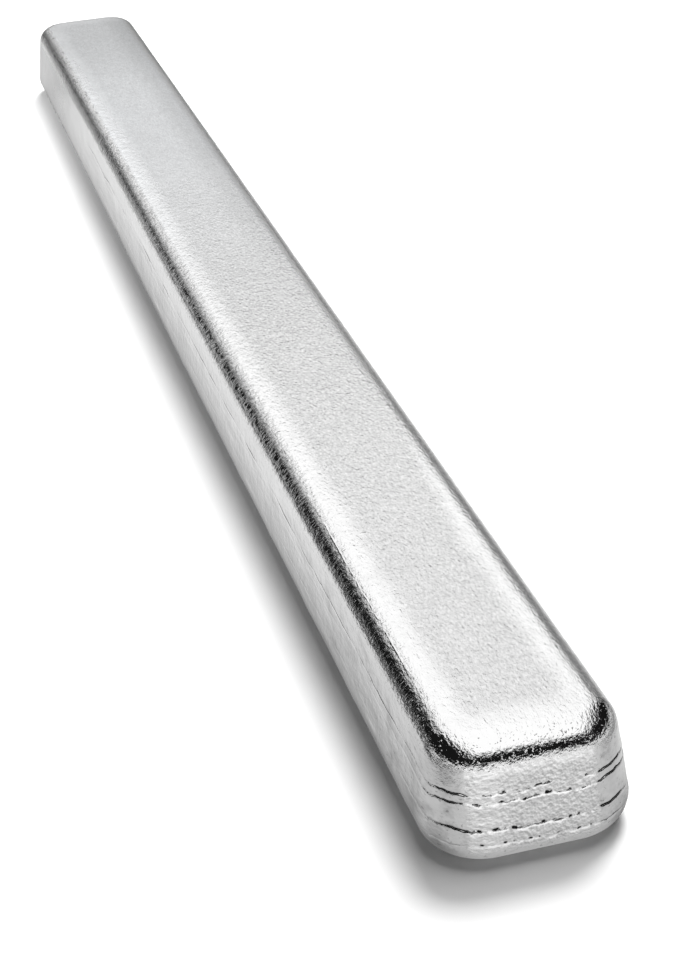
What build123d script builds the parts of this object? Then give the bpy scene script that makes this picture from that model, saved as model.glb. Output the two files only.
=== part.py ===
"""Cast solder bar: one piece of tin-based solder, poured into an open mould and stored upside down.

The bar lies on the face that was open at the pour, with the mould's flat floor side up. Its walls
lean in towards the top by the mould's draft. The metal's skin drew in at the foot, so the wall turns
under in a round there, and the mould's floor left a full round along the top edge.

Frame: millimetres, +X along the bar, +Z up, origin on the floor under the middle of the bar.
"""
import math
import os

from build123d import *

# Overall size, across the widest line just above the foot
length = 345.0
width = 26.2
height = 16.4

# Mould form
draft_angle = 7.5          # lean of every wall from upright, in degrees
corner_radius = 7.9        # of the four upright corners, at the widest line
top_edge_radius = 3.9      # round between the walls and the flat top
foot_radius = 3.7          # round where the wall turns under, all round the foot


def foot_overhang():
    """How far the walls, run straight down to the floor, would stand out past the widest line."""
    draft = math.radians(draft_angle)
    run_to_floor = foot_radius * (1 + math.sin(draft)) * math.tan(draft)
    lost_to_round = foot_radius * (1 - math.cos(draft))
    return run_to_floor - lost_to_round


def mould_prism():
    """The straight-walled body with its drafted walls and round corners, before the edges are rounded."""
    overhang = foot_overhang()
    foot_outline = RectangleRounded(
        length + 2 * overhang,
        width + 2 * overhang,
        corner_radius + overhang,
    )
    return extrude(foot_outline, amount=height, taper=draft_angle)


def solder_bar():
    """The finished casting: the mould prism with its foot and its top edge rounded."""
    bar = mould_prism()
    foot_edges = bar.faces().sort_by(Axis.Z)[0].edges()
    bar = fillet(foot_edges, foot_radius)
    top_edges = bar.faces().sort_by(Axis.Z)[-1].edges()
    return fillet(top_edges, top_edge_radius)


os.makedirs("parts", exist_ok=True)
bar = solder_bar()
bar.label = "solder_bar"
export_step(bar, "parts/solder_bar.step")
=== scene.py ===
"""Looks of the cast solder bar: its skin, its fill lines and its bright metal, on a pale floor.

Everything is in metres, in the bar's own frame: +X along the bar, +Z up, origin on the floor. The
near end is the one at +X, and the left-hand side is the one at -Y.
"""
import math
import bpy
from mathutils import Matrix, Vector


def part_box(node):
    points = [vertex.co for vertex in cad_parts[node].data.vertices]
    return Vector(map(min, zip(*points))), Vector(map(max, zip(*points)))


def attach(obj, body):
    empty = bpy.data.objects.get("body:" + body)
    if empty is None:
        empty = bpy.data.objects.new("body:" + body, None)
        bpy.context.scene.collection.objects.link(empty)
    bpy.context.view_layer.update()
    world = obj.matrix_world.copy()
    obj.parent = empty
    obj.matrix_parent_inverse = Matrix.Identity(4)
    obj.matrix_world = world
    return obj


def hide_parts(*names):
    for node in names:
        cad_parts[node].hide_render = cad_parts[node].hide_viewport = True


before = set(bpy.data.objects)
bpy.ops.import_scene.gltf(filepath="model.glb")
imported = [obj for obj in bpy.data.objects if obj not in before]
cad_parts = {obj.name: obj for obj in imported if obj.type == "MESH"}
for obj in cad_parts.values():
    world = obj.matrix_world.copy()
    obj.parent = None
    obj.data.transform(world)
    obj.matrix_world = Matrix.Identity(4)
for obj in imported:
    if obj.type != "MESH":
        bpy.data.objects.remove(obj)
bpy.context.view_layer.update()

from types import SimpleNamespace

import bpy
import numpy as np
from mathutils import Vector

MM = 0.001
NODE = "solder_bar"

# Form of the casting, as in the part
low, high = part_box(NODE)
LENGTH = high.x - low.x
WIDTH = high.y - low.y
HEIGHT = high.z - low.z
DRAFT = math.radians(7.5)
CORNER_RADIUS = 7.9 * MM
TOP_EDGE_RADIUS = 3.9 * MM
FOOT_RADIUS = 3.7 * MM

# Fill lines, where the rising metal paused and lapped over itself: height, and how strongly the
# line shows on the round corners, on the flat of the ends and along the sides
LAPS = [
    (3.6 * MM, 0.5, 0.6, 0.12),
    (5.6 * MM, 0.95, 0.9, 0.36),
    (8.95 * MM, 1.0, 1.0, 0.26),
    (10.25 * MM, 0.95, 0.6, 0.58),
]

# Sizes of the cast skin, as its node tree takes them
SKIN_INPUTS = [
    ("Half Length", LENGTH / 2),
    ("Wave Height", 0.05 * MM),
    ("Lump Height", 0.16 * MM),
    ("Crack Depth", 0.14 * MM),
    ("Shoulder Height", 0.06 * MM),
    ("Lap Wander", 0.85 * MM),
    ("Seed", 7.0),
]

# Fineness of the mesh
FOOT_STEPS = 10
TOP_EDGE_STEPS = 16
WALL_STEP = 0.45 * MM
LAP_STEPS = [step * MM for step in (-0.75, -0.5, -0.3, -0.16, -0.06, 0.0, 0.07, 0.16, 0.32)]
HALF_CORNER_STEPS = 26
END_STEPS = 46
SIDE_STEPS = 230
SIDE_CROWDING = 0.8        # how much closer the side's stations stand near the ends

# Patterns in the metal: stretch along, across and up, width of a grain in mm, seed, detail, roughness
EVEN = (1.0, 1.0, 1.0)
DRAWN_OUT = (0.45, 1.0, 1.0)
PATTERNS = {
    "patch": (EVEN, 5.0, 2.0, 2.0, 0.5),
    "grain": (DRAWN_OUT, 0.32, 29.0, 2.0, 0.6),
    "mottle": (DRAWN_OUT, 0.9, 53.0, 3.0, 0.5),
    "streak": ((0.025, 1.0, 1.0), 0.7, 31.0, 3.0, 0.5),
    "pit": ((0.5, 1.0, 1.0), 0.55, 37.0, 2.0, 0.5),
    "stain": ((0.4, 1.0, 1.0), 2.2, 71.0, 4.0, 0.65),
    "spot": (DRAWN_OUT, 0.5, 79.0, 1.0, 0.5),
    "dimple": ((0.3, 1.0, 1.0), 0.8, 83.0, 2.0, 0.5),
    "fine_lump": (EVEN, 0.5, 23.0, 1.5, 0.5),
    "painted_ripple_shading": ((1.0, 0.4, 1.0), 0.42, 73.0, 1.5, 0.5),
    "sheen": (EVEN, 2.4, 5.0, 4.0, 0.5),
    "peel": (DRAWN_OUT, 0.36, 11.0, 2.0, 0.55),
    "coarse_peel": (EVEN, 1.0, 67.0, 2.0, 0.5),
    "pebble": (EVEN, 1.3, 17.0, 1.0, 0.5),
    "hair": ((1.0, 0.3, 0.3), 0.22, 41.0, 1.0, 0.5),
    "speck": (EVEN, 0.3, 59.0, 1.0, 0.5),
    "rag_gap": (DRAWN_OUT, 0.6, 61.0, 2.0, 0.5),
    "crease_wander": ((1.0, 0.0, 0.0), 6.0, 43.0, 2.0, 0.5),
    "crease_gap": (EVEN, 3.5, 47.0, 2.0, 0.5),
}
# Steps towards the light at which the ends' lumps and ripples are read again, to paint their light and shade
LUMP_LIGHT_STEP = (0.0, 0.06 * MM, 0.13 * MM)      # towards the light, for the shading of the lumps
RIPPLE_LIGHT_STEP = (0.0, 0.0, 0.12 * MM)

# Tone of the metal, and the share of it that each mark takes or adds
BASE_TONE = 0.66
BRIGHTEST_TONE = 0.96
PATCH_TONE = 0.03
FROST_TONE = -0.18
FROST_GRAIN_TONE = 0.34
TOP_GRAIN_TONE = 0.04
MOTTLE_TONE = 0.08
STREAK_TONE = 0.1
PIT_TONE = -0.55
STAIN_TONE = -0.19
SPOT_TONE = -0.25
DIMPLE_TONE = -0.45
CORNER_TONE = 0.86
END_TONE = -0.13
# Painted shade and highlight: hollows of the ends' lumps darker, raised lumps lighter
LUMP_PAINTED_SHADE_TONE = 0.14
# Painted light and shade of the ends' lumps and ripples, as if lit from above
PAINTED_RELIEF_SHADING_TONE = 0.85
# Painted highlight on the scalloped lobes just below each fill line on the ends
LOBE_HIGHLIGHT_TONE = 1.3
# Painted shade in the crack of each fill line, which is also made a non-metal
LAP_PAINTED_SHADE_TONE = -0.96
COOL_TINT = (-0.015, 0.0, 0.015)

# Roughness of the metal, and what each zone adds to it
BASE_ROUGHNESS = 0.06
SHEEN_ROUGHNESS = 0.02
END_ROUGHNESS = 0.24
FROST_ROUGHNESS = 0.12
LAP_ROUGHNESS = 0.6
FAR_ROUGHNESS = 0.22

RELIEF_DEPTH = 0.055 * MM                          # of the finest relief, which is shaded and not cut

# Pale floor
FLOOR_REACH = 40.0
FLOOR_DROP = 0.05 * MM
FLOOR_TONE = (0.9, 0.9, 0.9, 1.0)
FLOOR_ROUGHNESS = 0.9

# Brightness of what the metal mirrors, and of the fill on everything else
SOFT_BOX_GLOW = 1.55
FRONT_CARD_GLOW = 1.1
SIDE_CARD_GLOW = 0.85
BACK_CARD_GLOW = 0.5
DARK_ROOM_GLOW = 0.012
FILL_GLOW = 0.11

# Lamps that light the floor and aren't mirrored: name, energy, width in degrees, way it shines
KEY_LAMPS = [
    ("key_back", 3.3, 23.0, (0.61, -0.39, -1.0)),
    ("key_top", 1.34, 42.0, (0.12, -0.28, -1.0)),
]

# Small lamp low beside the far end, which thins the shadow there
FAR_FILL_PLACE = (-0.19, -0.12, 0.075)
FAR_FILL_TOWARD = (0.04, 0.1, -0.075)
FAR_FILL_SIZE = 0.08
FAR_FILL_ENERGY = 0.14

# Gridded soft boxes that only the metal mirrors, each for the views from across the bar: name, way it
# stands from the bar in degrees, middle in mm, length and height in mm, width of its grid in degrees,
# brightness
GRID_BOXES = [
    ("box_left", -90.0, (-110.0, -110.0, 75.0), 320.0, 120.0, 90.0, 0.8),
    ("box_right", 90.0, (-110.0, 110.0, 75.0), 320.0, 120.0, 90.0, 0.8),
    ("box_front_left", -45.0, (115.0, -170.0, 90.0), 165.0, 130.0, 60.0, 0.9),
    ("box_front_right", 45.0, (115.0, 170.0, 90.0), 165.0, 130.0, 60.0, 0.9),
    ("box_front", 0.0, (250.0, 0.0, 200.0), 200.0, 200.0, 90.0, 0.8),
    ("box_back_right", 135.0, (-170.0, 170.0, 90.0), 240.0, 130.0, 60.0, 0.35),
]
GRID_BOX_TILT = 18.0       # how far each box looks down, in degrees
ENERGY_FOR_GLOW = 4.0      # energy of an area lamp for a brightness of 1 over each square metre

# Camera, fitted to the outline in the photograph
CAMERA_PLACE = (0.3682, -0.0660, 0.1568)
CAMERA_TURN = (1.0975, 0.0645, 1.3112)
CAMERA_LENS = 81.37
CAMERA_SENSOR = 36.0
CAMERA_NEAREST = 0.01
CAMERA_FARTHEST = 200.0


# Node wiring

class Wire:
    """One output socket of a node tree, with arithmetic that adds the nodes it needs."""

    def __init__(self, tree, socket):
        self.tree = tree
        self.socket = socket

    def _math(self, operation, *others):
        node = self.tree.nodes.new("ShaderNodeMath")
        node.operation = operation
        for place, value in enumerate((self, *others)):
            connect(self.tree, value, node.inputs[place])
        return Wire(self.tree, node.outputs[0])

    def __add__(self, other):
        return self._math("ADD", other)

    def __sub__(self, other):
        return self._math("SUBTRACT", other)

    def __mul__(self, other):
        return self._math("MULTIPLY", other)

    def __truediv__(self, other):
        return self._math("DIVIDE", other)

    def power(self, exponent):
        return self._math("POWER", exponent)

    def size(self):
        return self._math("ABSOLUTE")

    def at_least(self, other):
        return self._math("MAXIMUM", other)

    def at_most(self, other):
        return self._math("MINIMUM", other)

    def ramp(self, start, end, first=0.0, last=1.0):
        """Runs smoothly from first, where this is start, to last, where it is end."""
        node = self.tree.nodes.new("ShaderNodeMapRange")
        node.interpolation_type = "SMOOTHSTEP"
        connect(self.tree, self, node.inputs["Value"])
        connect(self.tree, start, node.inputs["From Min"])
        connect(self.tree, end, node.inputs["From Max"])
        connect(self.tree, first, node.inputs["To Min"])
        connect(self.tree, last, node.inputs["To Max"])
        return Wire(self.tree, node.outputs["Result"])

    def span(self, start, end, first=0.0, last=1.0):
        """As ramp, with start and end in millimetres."""
        return self.ramp(start * MM, end * MM, first, last)

    def rest(self):
        """What this leaves of 1."""
        return self * -1.0 + 1.0

    def bell(self, half_width):
        """1 where this is zero, falling to 0 a few half widths away."""
        share = self / half_width
        return (share * share * -1.0)._math("EXPONENT")


def connect(tree, value, socket):
    """Feeds a socket from a wire, or sets it to a plain value."""
    if isinstance(value, Wire):
        tree.links.new(value.socket, socket)
    else:
        socket.default_value = value


def split(tree, vector):
    """The three parts of a vector wire."""
    node = tree.nodes.new("ShaderNodeSeparateXYZ")
    tree.links.new(vector.socket, node.inputs[0])
    return [Wire(tree, output) for output in node.outputs]


def stretched(tree, vector, factors):
    """A vector wire with each part multiplied by its own factor."""
    node = tree.nodes.new("ShaderNodeVectorMath")
    node.operation = "MULTIPLY"
    tree.links.new(vector.socket, node.inputs[0])
    node.inputs[1].default_value = factors
    return Wire(tree, node.outputs[0])


def moved(tree, vector, step):
    """A vector wire with a fixed step added."""
    node = tree.nodes.new("ShaderNodeVectorMath")
    node.operation = "ADD"
    tree.links.new(vector.socket, node.inputs[0])
    node.inputs[1].default_value = step
    return Wire(tree, node.outputs[0])


def noise(tree, place, grain, seed, detail=2.0, roughness=0.5):
    """Smooth noise from about -1 to 1 whose lumps are about one grain wide."""
    node = tree.nodes.new("ShaderNodeTexNoise")
    node.noise_dimensions = "4D"
    tree.links.new(place.socket, node.inputs["Vector"])
    connect(tree, seed, node.inputs["W"])
    node.inputs["Scale"].default_value = 1.0 / grain
    node.inputs["Detail"].default_value = detail
    node.inputs["Roughness"].default_value = roughness
    return Wire(tree, node.outputs["Fac"]) * 2.0 - 1.0


# Form of the bar

def section_rows():
    """The wall's section as rows of (inset from the widest line, height), from the foot to the top."""
    foot_height = FOOT_RADIUS * (1 + math.sin(DRAFT))
    foot_inset = FOOT_RADIUS * (1 - math.cos(DRAFT))
    top_centre = HEIGHT - TOP_EDGE_RADIUS
    wall_top = top_centre + TOP_EDGE_RADIUS * math.sin(DRAFT)
    wall_inset = foot_inset + (wall_top - foot_height) * math.tan(DRAFT)

    foot_angles = np.linspace(-math.pi / 2, DRAFT, FOOT_STEPS + 1)
    plain = [FOOT_RADIUS * (1 + math.sin(angle)) for angle in foot_angles]
    plain += list(np.arange(foot_height + WALL_STEP, wall_top - WALL_STEP / 2, WALL_STEP))
    near_laps = [lap[0] + step for lap in LAPS for step in LAP_STEPS]
    clear = WALL_STEP / 3
    heights = [h for h in plain if min(abs(h - other) for other in near_laps) > clear] + near_laps
    rows = []
    for h in sorted(heights):
        if h < foot_height:
            lean = h / FOOT_RADIUS - 1
            rows.append((FOOT_RADIUS * (1 - math.sqrt(1 - lean * lean)), h))
        else:
            rows.append((foot_inset + (h - foot_height) * math.tan(DRAFT), h))

    round_centre = wall_inset + TOP_EDGE_RADIUS * math.cos(DRAFT)
    for angle in np.linspace(DRAFT, math.pi / 2, TOP_EDGE_STEPS + 1):
        inset = round_centre - TOP_EDGE_RADIUS * math.cos(angle)
        rows.append((inset, top_centre + TOP_EDGE_RADIUS * math.sin(angle)))
    return rows


def crowded(steps, crowding):
    """Stations from -1 to 1 that stand closer together towards both ends."""
    even = np.linspace(-1, 1, steps + 1)
    return (1 - crowding) * even + crowding * np.sin(even * math.pi / 2)


def outline_side(turn, along, out, stations):
    """One side of the plan outline, from the middle of one corner to the middle of the next.

    turn is the way that the side faces, along and out are half its straight length and its distance
    from the middle, and stations are the places along the straight run from -1 to 1.
    """
    half_corner = np.linspace(0, math.pi / 4, HALF_CORNER_STEPS + 1)
    angles = np.concatenate([half_corner[:0:-1] * -1, 0 * stations, half_corner[1:]])
    straight = np.concatenate([
        np.full(HALF_CORNER_STEPS, -1.0), stations, np.full(HALF_CORNER_STEPS, 1.0)]) * along
    outward = out - CORNER_RADIUS + CORNER_RADIUS * np.cos(angles)
    sideways = straight + CORNER_RADIUS * np.sin(angles)
    facing = np.array([math.cos(turn), math.sin(turn)])
    running = np.array([-math.sin(turn), math.cos(turn)])
    points = outward[:, None] * facing + sideways[:, None] * running
    normals = np.cos(angles)[:, None] * facing + np.sin(angles)[:, None] * running
    return points, normals


def plan_outline():
    """Points and outward directions round the widest line, one array for each side, ends first."""
    end_run = WIDTH / 2 - CORNER_RADIUS
    side_run = LENGTH / 2 - CORNER_RADIUS
    end_stations = np.linspace(-1, 1, END_STEPS + 1)
    side_stations = crowded(SIDE_STEPS, SIDE_CROWDING)
    return [
        outline_side(0.0, end_run, LENGTH / 2, end_stations),
        outline_side(math.pi / 2, side_run, WIDTH / 2, side_stations),
        outline_side(math.pi, end_run, LENGTH / 2, end_stations),
        outline_side(-math.pi / 2, side_run, WIDTH / 2, side_stations),
    ]


def cap_grid(ring, counts):
    """Spreads a grid over the flat inside a ring, blending its four sides. Returns points as [end][side]."""
    first, second = counts
    side_0 = ring[:first + 1]
    side_1 = ring[first:first + second + 1]
    side_2 = ring[first + second:2 * first + second + 1][::-1]
    side_3 = np.concatenate([ring[2 * first + second:], ring[:1]])[::-1]
    s = ((side_1[:, 0] - side_1[0, 0]) / (side_1[-1, 0] - side_1[0, 0]))[None, :, None]
    t = ((side_0[:, 1] - side_0[0, 1]) / (side_0[-1, 1] - side_0[0, 1]))[:, None, None]
    across = side_0[:, None] * (1 - s) + side_2[:, None] * s
    lengthwise = side_3[None] * (1 - t) + side_1[None] * t
    corners = ((side_0[0] * (1 - s) + side_2[0] * s) * (1 - t)
               + (side_0[-1] * (1 - s) + side_2[-1] * s) * t)
    return across + lengthwise - corners


def bar_mesh():
    """The smooth casting as a closed mesh of quads: rings up the wall, a grid over the top and strips
    under the foot."""
    sides = plan_outline()
    points = np.concatenate([p[:-1] for p, n in sides])
    normals = np.concatenate([n[:-1] for p, n in sides])
    counts = (len(sides[0][0]) - 1, len(sides[1][0]) - 1)
    around = len(points)

    rings = []
    for inset, height in section_rows():
        plan = points - normals * inset
        rings.append(np.column_stack([plan, np.full(around, height)]))
    verts = np.concatenate(rings)

    lower = np.arange(around)
    after = np.roll(lower, -1)
    faces = []
    for row in range(len(rings) - 1):
        base = row * around
        faces.append(np.column_stack([lower, after, after + around, lower + around]) + base)

    # Grid over the top
    first, second = counts
    ring_start = (len(rings) - 1) * around
    grid = cap_grid(verts[ring_start:ring_start + around], counts)
    names = np.zeros(grid.shape[:2], int)
    ring = ring_start + lower
    names[:, 0] = ring[:first + 1]
    names[-1, :] = ring[first:first + second + 1]
    names[:, -1] = ring[first + second:2 * first + second + 1][::-1]
    names[0, :] = np.append(ring[2 * first + second:], ring[0])[::-1]
    inner = grid[1:-1, 1:-1].reshape(-1, 3)
    names[1:-1, 1:-1] = len(verts) + np.arange(len(inner)).reshape(first - 1, second - 1)
    verts = np.concatenate([verts, inner])
    quads = np.stack([names[:-1, :-1], names[1:, :-1], names[1:, 1:], names[:-1, 1:]], -1).reshape(-1, 4)
    faces = np.concatenate(faces + [quads]).tolist()

    # Flat foot: strips straight across, and one face inside each end's curve
    left = np.append(lower[2 * first + second:], 0)[::-1]
    right = lower[first:first + second + 1]
    faces += np.column_stack([left[:-1], left[1:], right[1:], right[:-1]]).tolist()
    faces.append(lower[:first + 1][::-1].tolist())
    faces.append(lower[first + second:2 * first + second + 1][::-1].tolist())

    mesh = bpy.data.meshes.new(NODE + "_form")
    mesh.from_pydata(verts.tolist(), [], faces)
    mesh.shade_smooth()
    return mesh


# Cast skin

def end_skin_zone(tree, place, from_end, seed):
    """The flat of each end, with a ragged border on the corners."""
    x, y, z = split(tree, place)
    ragged = noise(tree, place, 1.3 * MM, seed + 3.0) * (0.5 * MM)
    zone = ((y + 0.85 * MM).size() + ragged).span(8.3, 7.6) * from_end.span(4.5, 3.0)
    return zone * (z + ragged).span(1.8, 3.2) * (z + ragged).span(14.2, 12.9)


def frost_zone(tree, place, from_end, seed):
    """The frosted middle of the top, inside a bright border."""
    x, y, z = split(tree, place)
    edge = noise(tree, place, 3.0 * MM, seed + 5.0) * (0.9 * MM)
    border = x.span(60.0, 130.0, 4.0 * MM, 0.0)
    zone = (y * -1.0 + edge).span(7.8, 4.8) * (y + edge - border).span(7.6, 4.8)
    return zone * (from_end + edge).span(5.5, 11.0) * z.span(15.6, 16.2)


def fill_line(tree, place, given, zones, lap, seed):
    """One lapped fill line: what it lifts, how far it wanders up, its dark line of painted shade and the
    painted highlight on the lobes below it.
    """
    level, at_corner, at_end, at_side = lap
    x, y, z = split(tree, place)
    plan = stretched(tree, place, (1.0, 1.0, 0.0))
    above = z - level

    # Breaks in the line, dots on the ends and scallops of metal that hang below it
    broken = noise(tree, plan, 2.6 * MM, seed + 2.0, detail=3.0).ramp(-0.55, 0.05)
    long_broken = noise(tree, plan, 11.0 * MM, seed + 4.0, detail=3.0).ramp(-0.35, 0.25)
    dots = noise(tree, plan, 0.6 * MM, seed + 3.0).ramp(0.08, 0.28)
    wavy = noise(tree, plan, 0.9 * MM, seed + 3.5)
    scallop = wavy.ramp(-0.35, 0.3) * zones.end_skin * at_end
    far_fade = x.span(-150.0, -40.0, 0.2, 1.0)
    swell = zones.corner * y.size().span(12.8, 9.0, 0.3, 1.0)
    along = swell * broken * at_corner + zones.corner.rest() * long_broken * at_side
    along = along * zones.end_skin.rest() * far_fade
    open_line = along + zones.end_skin * dots * far_fade * at_end

    crack = above.bell(0.09 * MM) * open_line
    shoulder = (above + 0.36 * MM).bell(0.24 * MM) * (along + scallop * 1.8)
    relief = shoulder * given["Shoulder Height"] - crack * given["Crack Depth"]
    wander = noise(tree, plan, 7.0 * MM, seed) + noise(tree, plan, 1.5 * MM, seed + 1.0) * 0.45
    wander = wander + noise(tree, plan, 0.6 * MM, seed + 1.5) * 0.2
    wander = wander.at_least(-0.6).at_most(0.6) * given["Lap Wander"]
    thickness = noise(tree, plan, 1.4 * MM, seed + 2.5) * (0.09 * MM) + 0.085 * MM
    thickness = thickness.at_least(0.035 * MM) + zones.end_skin * (0.1 * MM)
    return SimpleNamespace(
        lift=relief * zones.on_wall * zones.corner.ramp(0.0, 1.0, 0.35, 1.0),
        rise=above.size().span(1.6, 0.5) * wander,
        # Where painted shade darkens the crack
        dark=above.bell(thickness) * open_line,
        # Painted highlight on the lobes below the line, on the ends
        lobe_highlight=(above + wavy * (0.3 * MM) + 0.25 * MM).bell(0.16 * MM) * scallop,
    )


def skin_relief(tree, place, given):
    """How far the skin is lifted and moved up, and the values that its metal reads."""
    x, y, z = split(tree, place)
    seed = given["Seed"]
    from_end = given["Half Length"] - x.size()
    zones = SimpleNamespace(
        end_skin=end_skin_zone(tree, place, from_end, seed),
        corner=from_end.span(17.0, 7.0),
        on_wall=z.span(14.6, 12.6),
    )
    off_floor = z.span(0.0, 2.0)
    wave = noise(tree, place, 16.0 * MM, seed, detail=1.0) * given["Wave Height"] * off_floor
    lumps = noise(tree, place, 0.7 * MM, seed + 1.0, detail=1.0) * zones.end_skin
    lines = [
        fill_line(tree, place, given, zones, lap, seed + 10.0 + number * 5.0)
        for number, lap in enumerate(LAPS)
    ]
    lift = wave + lumps * given["Lump Height"]
    rise = lines[0].rise
    dark = lines[0].dark
    lobe_highlight = lines[0].lobe_highlight
    for line in lines:
        lift = lift + line.lift
    for line in lines[1:]:
        rise = rise + line.rise
        dark = dark.at_least(line.dark)
        lobe_highlight = lobe_highlight.at_least(line.lobe_highlight)
    values = {
        "lap_line": dark * zones.on_wall,
        "lap_lobe_highlight": lobe_highlight,
        "end_skin": zones.end_skin,
        "frost": frost_zone(tree, place, from_end, seed),
        "corner": zones.corner * zones.end_skin.rest() * zones.on_wall,
        "lump": lumps,
    }
    return lift, rise * zones.on_wall * off_floor, values


def cast_skin_tree():
    """Lifts and cuts the smooth form into a cast skin: slow waves, lumpy ends and lapped fill lines."""
    tree = bpy.data.node_groups.new("cast_skin", "GeometryNodeTree")
    new_socket = tree.interface.new_socket
    new_socket(name="Form", in_out="INPUT", socket_type="NodeSocketGeometry")
    inputs = {}
    for name, value in SKIN_INPUTS:
        socket = new_socket(name=name, in_out="INPUT", socket_type="NodeSocketFloat")
        inputs[name] = (socket.identifier, value)
    metal_socket = new_socket(name="Metal", in_out="INPUT", socket_type="NodeSocketMaterial")
    new_socket(name="Bar", in_out="OUTPUT", socket_type="NodeSocketGeometry")

    entry = tree.nodes.new("NodeGroupInput")
    given = {name: Wire(tree, entry.outputs[name]) for name in inputs}
    place = Wire(tree, tree.nodes.new("GeometryNodeInputPosition").outputs[0])
    lift, rise, values = skin_relief(tree, place, given)

    normal = tree.nodes.new("GeometryNodeInputNormal")
    push = tree.nodes.new("ShaderNodeVectorMath")
    push.operation = "SCALE"
    tree.links.new(normal.outputs[0], push.inputs[0])
    tree.links.new(lift.socket, push.inputs["Scale"])
    up = tree.nodes.new("ShaderNodeCombineXYZ")
    tree.links.new(rise.socket, up.inputs["Z"])
    offset = tree.nodes.new("ShaderNodeVectorMath")
    offset.operation = "ADD"
    tree.links.new(push.outputs[0], offset.inputs[0])
    tree.links.new(up.outputs[0], offset.inputs[1])

    shape = entry.outputs["Form"]
    for name, value in values.items():
        store = tree.nodes.new("GeometryNodeStoreNamedAttribute")
        store.data_type = "FLOAT"
        store.domain = "POINT"
        tree.links.new(shape, store.inputs["Geometry"])
        store.inputs["Name"].default_value = name
        tree.links.new(value.socket, store.inputs["Value"])
        shape = store.outputs[0]
    move = tree.nodes.new("GeometryNodeSetPosition")
    tree.links.new(shape, move.inputs["Geometry"])
    tree.links.new(offset.outputs[0], move.inputs["Offset"])
    real = tree.nodes.new("GeometryNodeRealizeInstances")
    tree.links.new(move.outputs[0], real.inputs[0])
    finish = tree.nodes.new("GeometryNodeSetMaterial")
    tree.links.new(real.outputs[0], finish.inputs["Geometry"])
    tree.links.new(entry.outputs["Metal"], finish.inputs["Material"])
    leave = tree.nodes.new("NodeGroupOutput")
    tree.links.new(finish.outputs[0], leave.inputs["Bar"])
    return tree, inputs, metal_socket.identifier


def skinned_bar(metal):
    """The bar with its cast skin, as one plain mesh."""
    rough = bpy.data.objects.new(NODE + "_form", bar_mesh())
    bpy.context.scene.collection.objects.link(rough)
    tree, inputs, metal_input = cast_skin_tree()
    skin = rough.modifiers.new("cast_skin", "NODES")
    skin.node_group = tree
    for identifier, value in inputs.values():
        skin[identifier] = value
    skin[metal_input] = metal
    evaluated = rough.evaluated_get(bpy.context.evaluated_depsgraph_get())
    mesh = bpy.data.meshes.new_from_object(evaluated)
    bpy.data.objects.remove(rough)
    mesh.name = "cast_bar"
    mesh.shade_smooth()
    bar = bpy.data.objects.new("cast_bar", mesh)
    bpy.context.scene.collection.objects.link(bar)
    return bar


# Metal

def attribute(tree, name):
    """A value stored on the mesh's points."""
    node = tree.nodes.new("ShaderNodeAttribute")
    node.attribute_name = name
    return Wire(tree, node.outputs["Fac"])


def pattern(tree, place, name, step=(0.0, 0.0, 0.0)):
    """One of the metal's patterns, read one step away from each point."""
    stretch, grain, seed, detail, roughness = PATTERNS[name]
    there = stretched(tree, moved(tree, place, step), stretch)
    return noise(tree, there, grain * MM, seed, detail, roughness)


def metal_zones(tree):
    """Where each part of the skin is, as values from 0 to 1, and the place they are read at."""
    place = Wire(tree, tree.nodes.new("ShaderNodeTexCoord").outputs["Object"])
    x, y, z = split(tree, place)
    end_skin = attribute(tree, "end_skin")
    on_wall = z.span(13.4, 12.6)
    on_round = z.span(12.8, 13.6) * z.span(16.38, 16.2)
    plain_wall = on_wall * end_skin.rest() * x.span(-130.0, 0.0, 0.3, 1.0) * x.span(60.0, 140.0, 1.0, 1.5)
    return SimpleNamespace(
        place=place,
        x=x,
        y=y,
        z=z,
        end_skin=end_skin,
        on_wall=on_wall,
        on_round=on_round,
        plain_wall=plain_wall,
        on_top=z.span(16.1, 16.35),
        long_round=on_round * x.size().span(167.0, 160.0),
        smooth_end=x.span(60.0, -150.0),
        in_lap=attribute(tree, "lap_line").ramp(0.2, 0.55),
        lap_lobe_highlight=attribute(tree, "lap_lobe_highlight"),
        frost=attribute(tree, "frost"),
        corner=attribute(tree, "corner"),
        lump=attribute(tree, "lump"),
    )


def top_marks(tree, zone):
    """Frost and grain on the top, and a mottle that grows towards the far end."""
    grain = pattern(tree, zone.place, "grain")
    grain = grain * (zone.frost * FROST_GRAIN_TONE + zone.on_top * TOP_GRAIN_TONE)
    mottle = pattern(tree, zone.place, "mottle") * zone.on_top
    mottle = mottle * (zone.smooth_end * MOTTLE_TONE + MOTTLE_TONE)
    return (zone.frost * FROST_TONE + 1.0) * (grain + 1.0) * (mottle + 1.0)


def wall_marks(tree, zone):
    """Streaks, pits, stains and spots along the walls, darker corners, and dimples on the far left round."""
    x, y, z = zone.x, zone.y, zone.z
    streak = pattern(tree, zone.place, "streak") * zone.plain_wall
    pit = pattern(tree, zone.place, "pit").ramp(0.55, 0.75) * zone.plain_wall
    stain = pattern(tree, zone.place, "stain").ramp(-0.05, 0.4) * zone.plain_wall * x.span(60.0, 140.0)
    spot = pattern(tree, zone.place, "spot").ramp(0.27, 0.45) * zone.plain_wall * x.span(120.0, 155.0)
    dimple = pattern(tree, zone.place, "dimple").ramp(0.08, 0.3)
    dimple = dimple * zone.smooth_end * zone.on_round * z.span(14.4, 15.0) * y.span(0.0, -5.0)
    marks = (streak * STREAK_TONE + 1.0) * (pit * PIT_TONE + 1.0) * (stain * STAIN_TONE + 1.0)
    marks = marks * (spot * SPOT_TONE + 1.0) * (dimple * DIMPLE_TONE + 1.0)
    return marks * zone.corner.ramp(0.0, 1.0, 1.0, CORNER_TONE)


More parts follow.
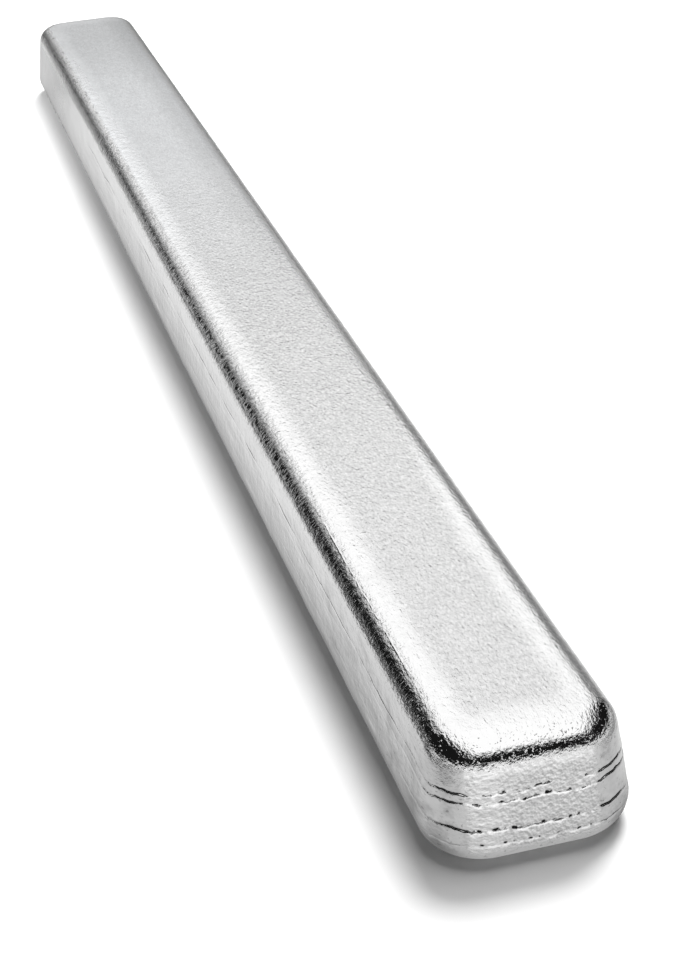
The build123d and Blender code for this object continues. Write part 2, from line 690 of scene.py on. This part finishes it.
def end_marks(tree, zone):
    """Painted light on the ends: lumps and ripples shaded as if lit from above, hollows darker and raised
    lumps lighter, and painted highlights on the lobes below the fill lines and along the top and left of the
    skin.
    """
    y, z = zone.y, zone.z
    # Painted light and shade: each lump lighter on the side towards the light and darker on the other
    painted_lump_shading = pattern(tree, zone.place, "fine_lump") - pattern(tree, zone.place, "fine_lump", LUMP_LIGHT_STEP)
    painted_lump_shading = (painted_lump_shading * 1.15).at_least(-0.26).at_most(0.45)
    # Painted light and shade of ripples, which have no relief of their own
    painted_ripple_shading = pattern(tree, zone.place, "painted_ripple_shading") - pattern(tree, zone.place, "painted_ripple_shading", RIPPLE_LIGHT_STEP)
    painted_ripple_shading = (painted_ripple_shading * 1.1).at_least(-0.25).at_most(0.4)
    rippled = y.span(-4.0, -6.5)
    painted_lump_shading = painted_lump_shading * (rippled * -0.6 + 1.0) + painted_ripple_shading * rippled
    # Painted highlight along the top of each end's skin and, weaker, on its left part
    painted_end_highlight = z.span(11.6, 13.0) * 0.25 + y.span(-2.0, -6.5) * 0.12
    # Painted shade in the lumps' hollows, painted highlights on raised lumps and lobes, and a darker tone
    # over the whole end skin
    marks = zone.lump * LUMP_PAINTED_SHADE_TONE + painted_lump_shading * PAINTED_RELIEF_SHADING_TONE + painted_end_highlight + zone.lap_lobe_highlight * LOBE_HIGHLIGHT_TONE + END_TONE
    return marks * zone.end_skin + 1.0


def metal_tone(tree, zone):
    """Share of the light that the metal sends back, with all its marks and the painted light and shade on
    the ends, the laps and the far right.
    """
    x, y = zone.x, zone.y
    tone = pattern(tree, zone.place, "patch") * PATCH_TONE + BASE_TONE
    tone = tone * x.span(-150.0, -95.0, 0.87, 1.06) * x.span(-70.0, 20.0, 1.0, 0.935)
    tone = tone * x.span(90.0, 150.0, 1.0, 0.97)
    # Painted shade on the right-hand side of the bar, deepening towards the far end
    far_right_painted_shade = y.span(2.0, 8.5) * x.span(60.0, -60.0, 0.0, -0.2)
    tone = tone * (far_right_painted_shade + 1.0)
    tone = tone * top_marks(tree, zone) * wall_marks(tree, zone) * end_marks(tree, zone)
    # The laps darkened to near black by painted shade
    return tone.at_most(BRIGHTEST_TONE) * (zone.in_lap * LAP_PAINTED_SHADE_TONE + 1.0)


def metal_roughness(tree, zone):
    """Roughness: bright rounds, satin ends and frost, and a duller far half."""
    x, y, z = zone.x, zone.y, zone.z
    roughness = pattern(tree, zone.place, "sheen") * SHEEN_ROUGHNESS + BASE_ROUGHNESS
    roughness = roughness + zone.end_skin * END_ROUGHNESS + zone.frost * FROST_ROUGHNESS
    roughness = roughness + zone.in_lap * LAP_ROUGHNESS
    bright_round = zone.on_round * z.span(14.8, 15.6, -0.14, -0.06)
    roughness = roughness + zone.smooth_end * (bright_round + FAR_ROUGHNESS)
    return roughness + zone.on_round * y.span(2.0, 7.0) * x.span(150.0, 60.0, 0.05, 0.12)


def metal_relief(tree, zone):
    """Finest relief: orange peel all over, sparse hairs across the long rounds, specks on the rounds of
    the near end, the ragged edge of the frost, and a faint crease along one round."""
    x, y, z = zone.x, zone.y, zone.z
    pebble = pattern(tree, zone.place, "pebble")
    dark_round = zone.on_round * z.span(16.1, 15.75) * zone.smooth_end.ramp(0.2, 0.8, 1.0, 0.0)
    peeled = (dark_round * x.span(80.0, 150.0, 0.75, 0.3)).at_least(zone.on_wall * 0.6).rest()
    peeled = peeled + zone.on_top * x.span(-60.0, 60.0, -0.4, 0.5) * (zone.frost * 0.5 + 0.5)
    coarse_peel = pattern(tree, zone.place, "coarse_peel") * zone.smooth_end * zone.on_round
    height = pattern(tree, zone.place, "peel") * peeled + pebble * 0.45 + coarse_peel

    hair = pattern(tree, zone.place, "hair").ramp(-0.05, 0.55) * zone.long_round
    height = height + hair * x.span(60.0, 140.0, 1.0, 0.4) * z.span(14.2, 15.4, 0.45, 0.85)
    specked = zone.on_round * x.span(140.0, 166.0) * 1.15
    specked = specked.at_least(zone.long_round * z.span(15.5, 15.9) * 0.45)
    height = height + pattern(tree, zone.place, "speck").ramp(0.22, 0.7) * specked

    rag = (y - x.span(40.0, 95.0, 7.2 * MM, 9.0 * MM) + pebble * (0.35 * MM)).bell(0.25 * MM) * 1.5
    rag = rag * x.span(-40.0, 0.0) * x.span(130.0, 90.0)
    rag = rag.at_least((zone.frost - 0.45).bell(0.16) * 0.7)
    rag = rag * pattern(tree, zone.place, "rag_gap").ramp(0.0, 0.45)
    height = height + rag * zone.smooth_end.ramp(0.2, 0.7, 0.8, 0.2)

    crease = z - 15.97 * MM + pattern(tree, zone.place, "crease_wander") * (0.1 * MM)
    crease = crease.bell(0.05 * MM) * y.span(0.0, -5.0) * x.span(100.0, 122.0) * x.span(158.0, 148.0)
    height = height + crease * pattern(tree, zone.place, "crease_gap").ramp(-0.2, 0.25) * 0.8
    height = height * zone.smooth_end.ramp(0.0, 1.0, 1.0, 0.6)
    return height + pattern(tree, zone.place, "fine_lump") * zone.end_skin * 0.7


def cast_tin():
    """Bright cast tin: a mirror-like skin with fine orange peel, with painted shade darkening the laps, and
    dark pits.
    """
    material = bpy.data.materials.new("cast_tin")
    material.use_nodes = True
    tree = material.node_tree
    shader = tree.nodes["Principled BSDF"]
    shader.inputs["Specular IOR Level"].default_value = 0.0
    zone = metal_zones(tree)
    # The laps are made a dark non-metal: painted shade in their cracks
    connect(tree, zone.in_lap.rest(), shader.inputs["Metallic"])

    # Grey, a little cooler on the far half of the top
    tone = metal_tone(tree, zone)
    cool = zone.on_top * zone.x.span(60.0, -80.0)
    grey = tree.nodes.new("ShaderNodeCombineColor")
    for socket, tint in zip(grey.inputs, COOL_TINT):
        connect(tree, tone * (cool * tint + 1.0), socket)
    tree.links.new(grey.outputs[0], shader.inputs["Base Color"])

    connect(tree, metal_roughness(tree, zone), shader.inputs["Roughness"])
    bump = tree.nodes.new("ShaderNodeBump")
    bump.inputs["Strength"].default_value = 1.0
    bump.inputs["Distance"].default_value = RELIEF_DEPTH
    connect(tree, metal_relief(tree, zone), bump.inputs["Height"])
    tree.links.new(bump.outputs[0], shader.inputs["Normal"])
    return material


# Studio

def mirrored_floor(tree):
    """Brightness of the floor as the metal mirrors it, a painted glow: dimmed close against the bar by a
    painted shadow, lit beside the bar, dark further off, darkest to the left, and lit again far out."""
    x, y, z = split(tree, Wire(tree, tree.nodes.new("ShaderNodeTexCoord").outputs["Object"]))
    beside = y.size() - WIDTH / 2
    beyond = x.size() - LENGTH / 2
    in_front = beyond.span(-6.0, 1.0)
    # Painted shadow: the glow dims close against the sides and ends of the bar
    at_side = beside.span(-3.0, 10.0, 0.24, 1.06) * x.span(150.0, 60.0, 0.84, 1.0)
    at_front = beyond.span(-3.0, 22.0, 0.82, 1.04) * beyond.span(15.0, 70.0, 1.0, 1.3)
    lit = at_side * in_front.rest() + at_front * in_front
    at_far_end = x.span(-120.0, -250.0, 0.05, 0.35)
    on_right = y.span(0.0, 5.0, 0.0, 0.32)
    far_out = (x + beside * 1.3).span(230.0, 330.0, 0.0, 0.95)
    dim = at_far_end.at_least(on_right).at_least(far_out)
    dark_from = x.span(-140.0, -200.0, 54.0 * MM, 24.0 * MM)
    lit_to = x.span(-140.0, -200.0, 16.0 * MM, 10.0 * MM)
    return lit * beside.ramp(dark_from, lit_to, dim, 1.0)


def pale_floor():
    """A wide pale floor, with a brightness of its own in the metal's reflection."""
    mesh = bpy.data.meshes.new("floor")
    signs = ((-1, -1), (1, -1), (1, 1), (-1, 1))
    corners = [(along * FLOOR_REACH, across * FLOOR_REACH, -FLOOR_DROP) for along, across in signs]
    mesh.from_pydata(corners, [], [(0, 1, 2, 3)])
    floor = bpy.data.objects.new("floor", mesh)
    bpy.context.scene.collection.objects.link(floor)
    paint = bpy.data.materials.new("pale_floor")
    paint.use_nodes = True
    tree = paint.node_tree
    shader = tree.nodes["Principled BSDF"]
    shader.inputs["Base Color"].default_value = FLOOR_TONE
    shader.inputs["Roughness"].default_value = FLOOR_ROUGHNESS
    shader.inputs["Specular IOR Level"].default_value = 0.0
    glow = tree.nodes.new("ShaderNodeEmission")
    connect(tree, mirrored_floor(tree), glow.inputs["Strength"])
    swap = tree.nodes.new("ShaderNodeMixShader")
    tree.links.new(tree.nodes.new("ShaderNodeLightPath").outputs["Is Glossy Ray"], swap.inputs[0])
    tree.links.new(shader.outputs[0], swap.inputs[1])
    tree.links.new(glow.outputs[0], swap.inputs[2])
    tree.links.new(swap.outputs[0], tree.nodes["Material Output"].inputs["Surface"])
    mesh.materials.append(paint)


def mirrored_studio(tree):
    """Brightness of the studio as the metal mirrors it: a long soft box overhead with firm edges towards
    the near corners, and low cards along the horizon, in a dark room."""
    direction = Wire(tree, tree.nodes.new("ShaderNodeTexCoord").outputs["Generated"])
    x, y, z = split(tree, direction)
    # The box's limits are slopes: how far to the front or across a direction runs for each step up
    height = z.at_least(0.02)
    front = x / height
    across = y / height
    spread = (front + 2.0).at_most(0.0) * 0.36
    to_right = y / (x * x + y * y).power(0.5).at_least(0.01)
    left_out = to_right.ramp(-0.42, -0.65, -1.4, -0.75)
    left_in = to_right.ramp(-0.42, -0.65, -0.1, -0.38)
    right_out = to_right.ramp(0.6, 0.8, 2.2, 1.1)
    soft_box = (across - spread).ramp(left_out, left_in) * (across + spread).ramp(right_out, 0.5)
    soft_box = soft_box * front.ramp(1.15, 0.58) * front.ramp(-7.0, -1.2)
    front_card = x.ramp(0.7, 0.85) * z.ramp(0.14, 0.05)
    side_cards = y.size().ramp(0.75, 0.9) * z.ramp(0.1, 0.03)
    back_card = x.ramp(-0.9, -0.97) * z.ramp(0.06, 0.02)
    cards = front_card * FRONT_CARD_GLOW + side_cards * SIDE_CARD_GLOW + back_card * BACK_CARD_GLOW
    return soft_box * SOFT_BOX_GLOW + cards + DARK_ROOM_GLOW


def studio_world():
    """White to the eye, the studio in the metal, and a weak fill on everything else."""
    world = bpy.data.worlds.new("studio")
    bpy.context.scene.world = world
    world.use_nodes = True
    tree = world.node_tree
    background = tree.nodes["Background"]
    path = tree.nodes.new("ShaderNodeLightPath")
    seen = Wire(tree, path.outputs["Is Camera Ray"])
    mirrored = Wire(tree, path.outputs["Is Glossy Ray"])
    fill = (seen + mirrored).rest() * FILL_GLOW
    connect(tree, mirrored_studio(tree) * mirrored + seen + fill, background.inputs["Strength"])
    background.inputs["Color"].default_value = (1.0, 1.0, 1.0, 1.0)


def aimed_lamp(name, kind, toward):
    """A lamp that shines one way. Returns its data and its object."""
    lamp = bpy.data.lights.new(name, kind)
    holder = bpy.data.objects.new(name, lamp)
    holder.rotation_euler = Vector(toward).to_track_quat("-Z", "Y").to_euler()
    bpy.context.scene.collection.objects.link(holder)
    return lamp, holder


def soft_studio():
    """The studio's world, wide key lamps and a small fill for the floor, and gridded boxes for the metal."""
    studio_world()
    for name, energy, width, toward in KEY_LAMPS:
        lamp, key = aimed_lamp(name, "SUN", toward)
        lamp.energy = energy
        lamp.angle = math.radians(width)
        key.visible_glossy = False

    fall = -math.tan(math.radians(GRID_BOX_TILT))
    for name, stand, middle, length, height, grid, brightness in GRID_BOXES:
        way = math.radians(stand)
        lamp, box = aimed_lamp(name, "AREA", (-math.cos(way), -math.sin(way), fall))
        lamp.shape = "RECTANGLE"
        lamp.size = length * MM
        lamp.size_y = height * MM
        lamp.spread = math.radians(grid)
        half = lamp.spread / 2
        through = math.tan(half) / (math.tan(half) - half)
        lamp.energy = brightness * ENERGY_FOR_GLOW * lamp.size * lamp.size_y / through
        box.location = Vector(middle) * MM
        box.visible_camera = False
        box.visible_diffuse = False

    lamp, fill = aimed_lamp("far_fill", "AREA", FAR_FILL_TOWARD)
    lamp.energy = FAR_FILL_ENERGY
    lamp.size = FAR_FILL_SIZE
    fill.location = FAR_FILL_PLACE
    fill.visible_glossy = False


def camera():
    """The camera at the photograph's view."""
    data = bpy.data.cameras.new("camera")
    data.sensor_width = CAMERA_SENSOR
    data.lens = CAMERA_LENS
    data.clip_start = CAMERA_NEAREST
    data.clip_end = CAMERA_FARTHEST
    eye = bpy.data.objects.new("camera", data)
    eye.location = CAMERA_PLACE
    eye.rotation_euler = CAMERA_TURN
    bpy.context.scene.collection.objects.link(eye)
    bpy.context.scene.camera = eye


metal = cast_tin()
bar = skinned_bar(metal)
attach(bar, "root")
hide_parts(NODE)
pale_floor()
soft_studio()
camera()
bpy.context.scene.view_settings.view_transform = "Standard"
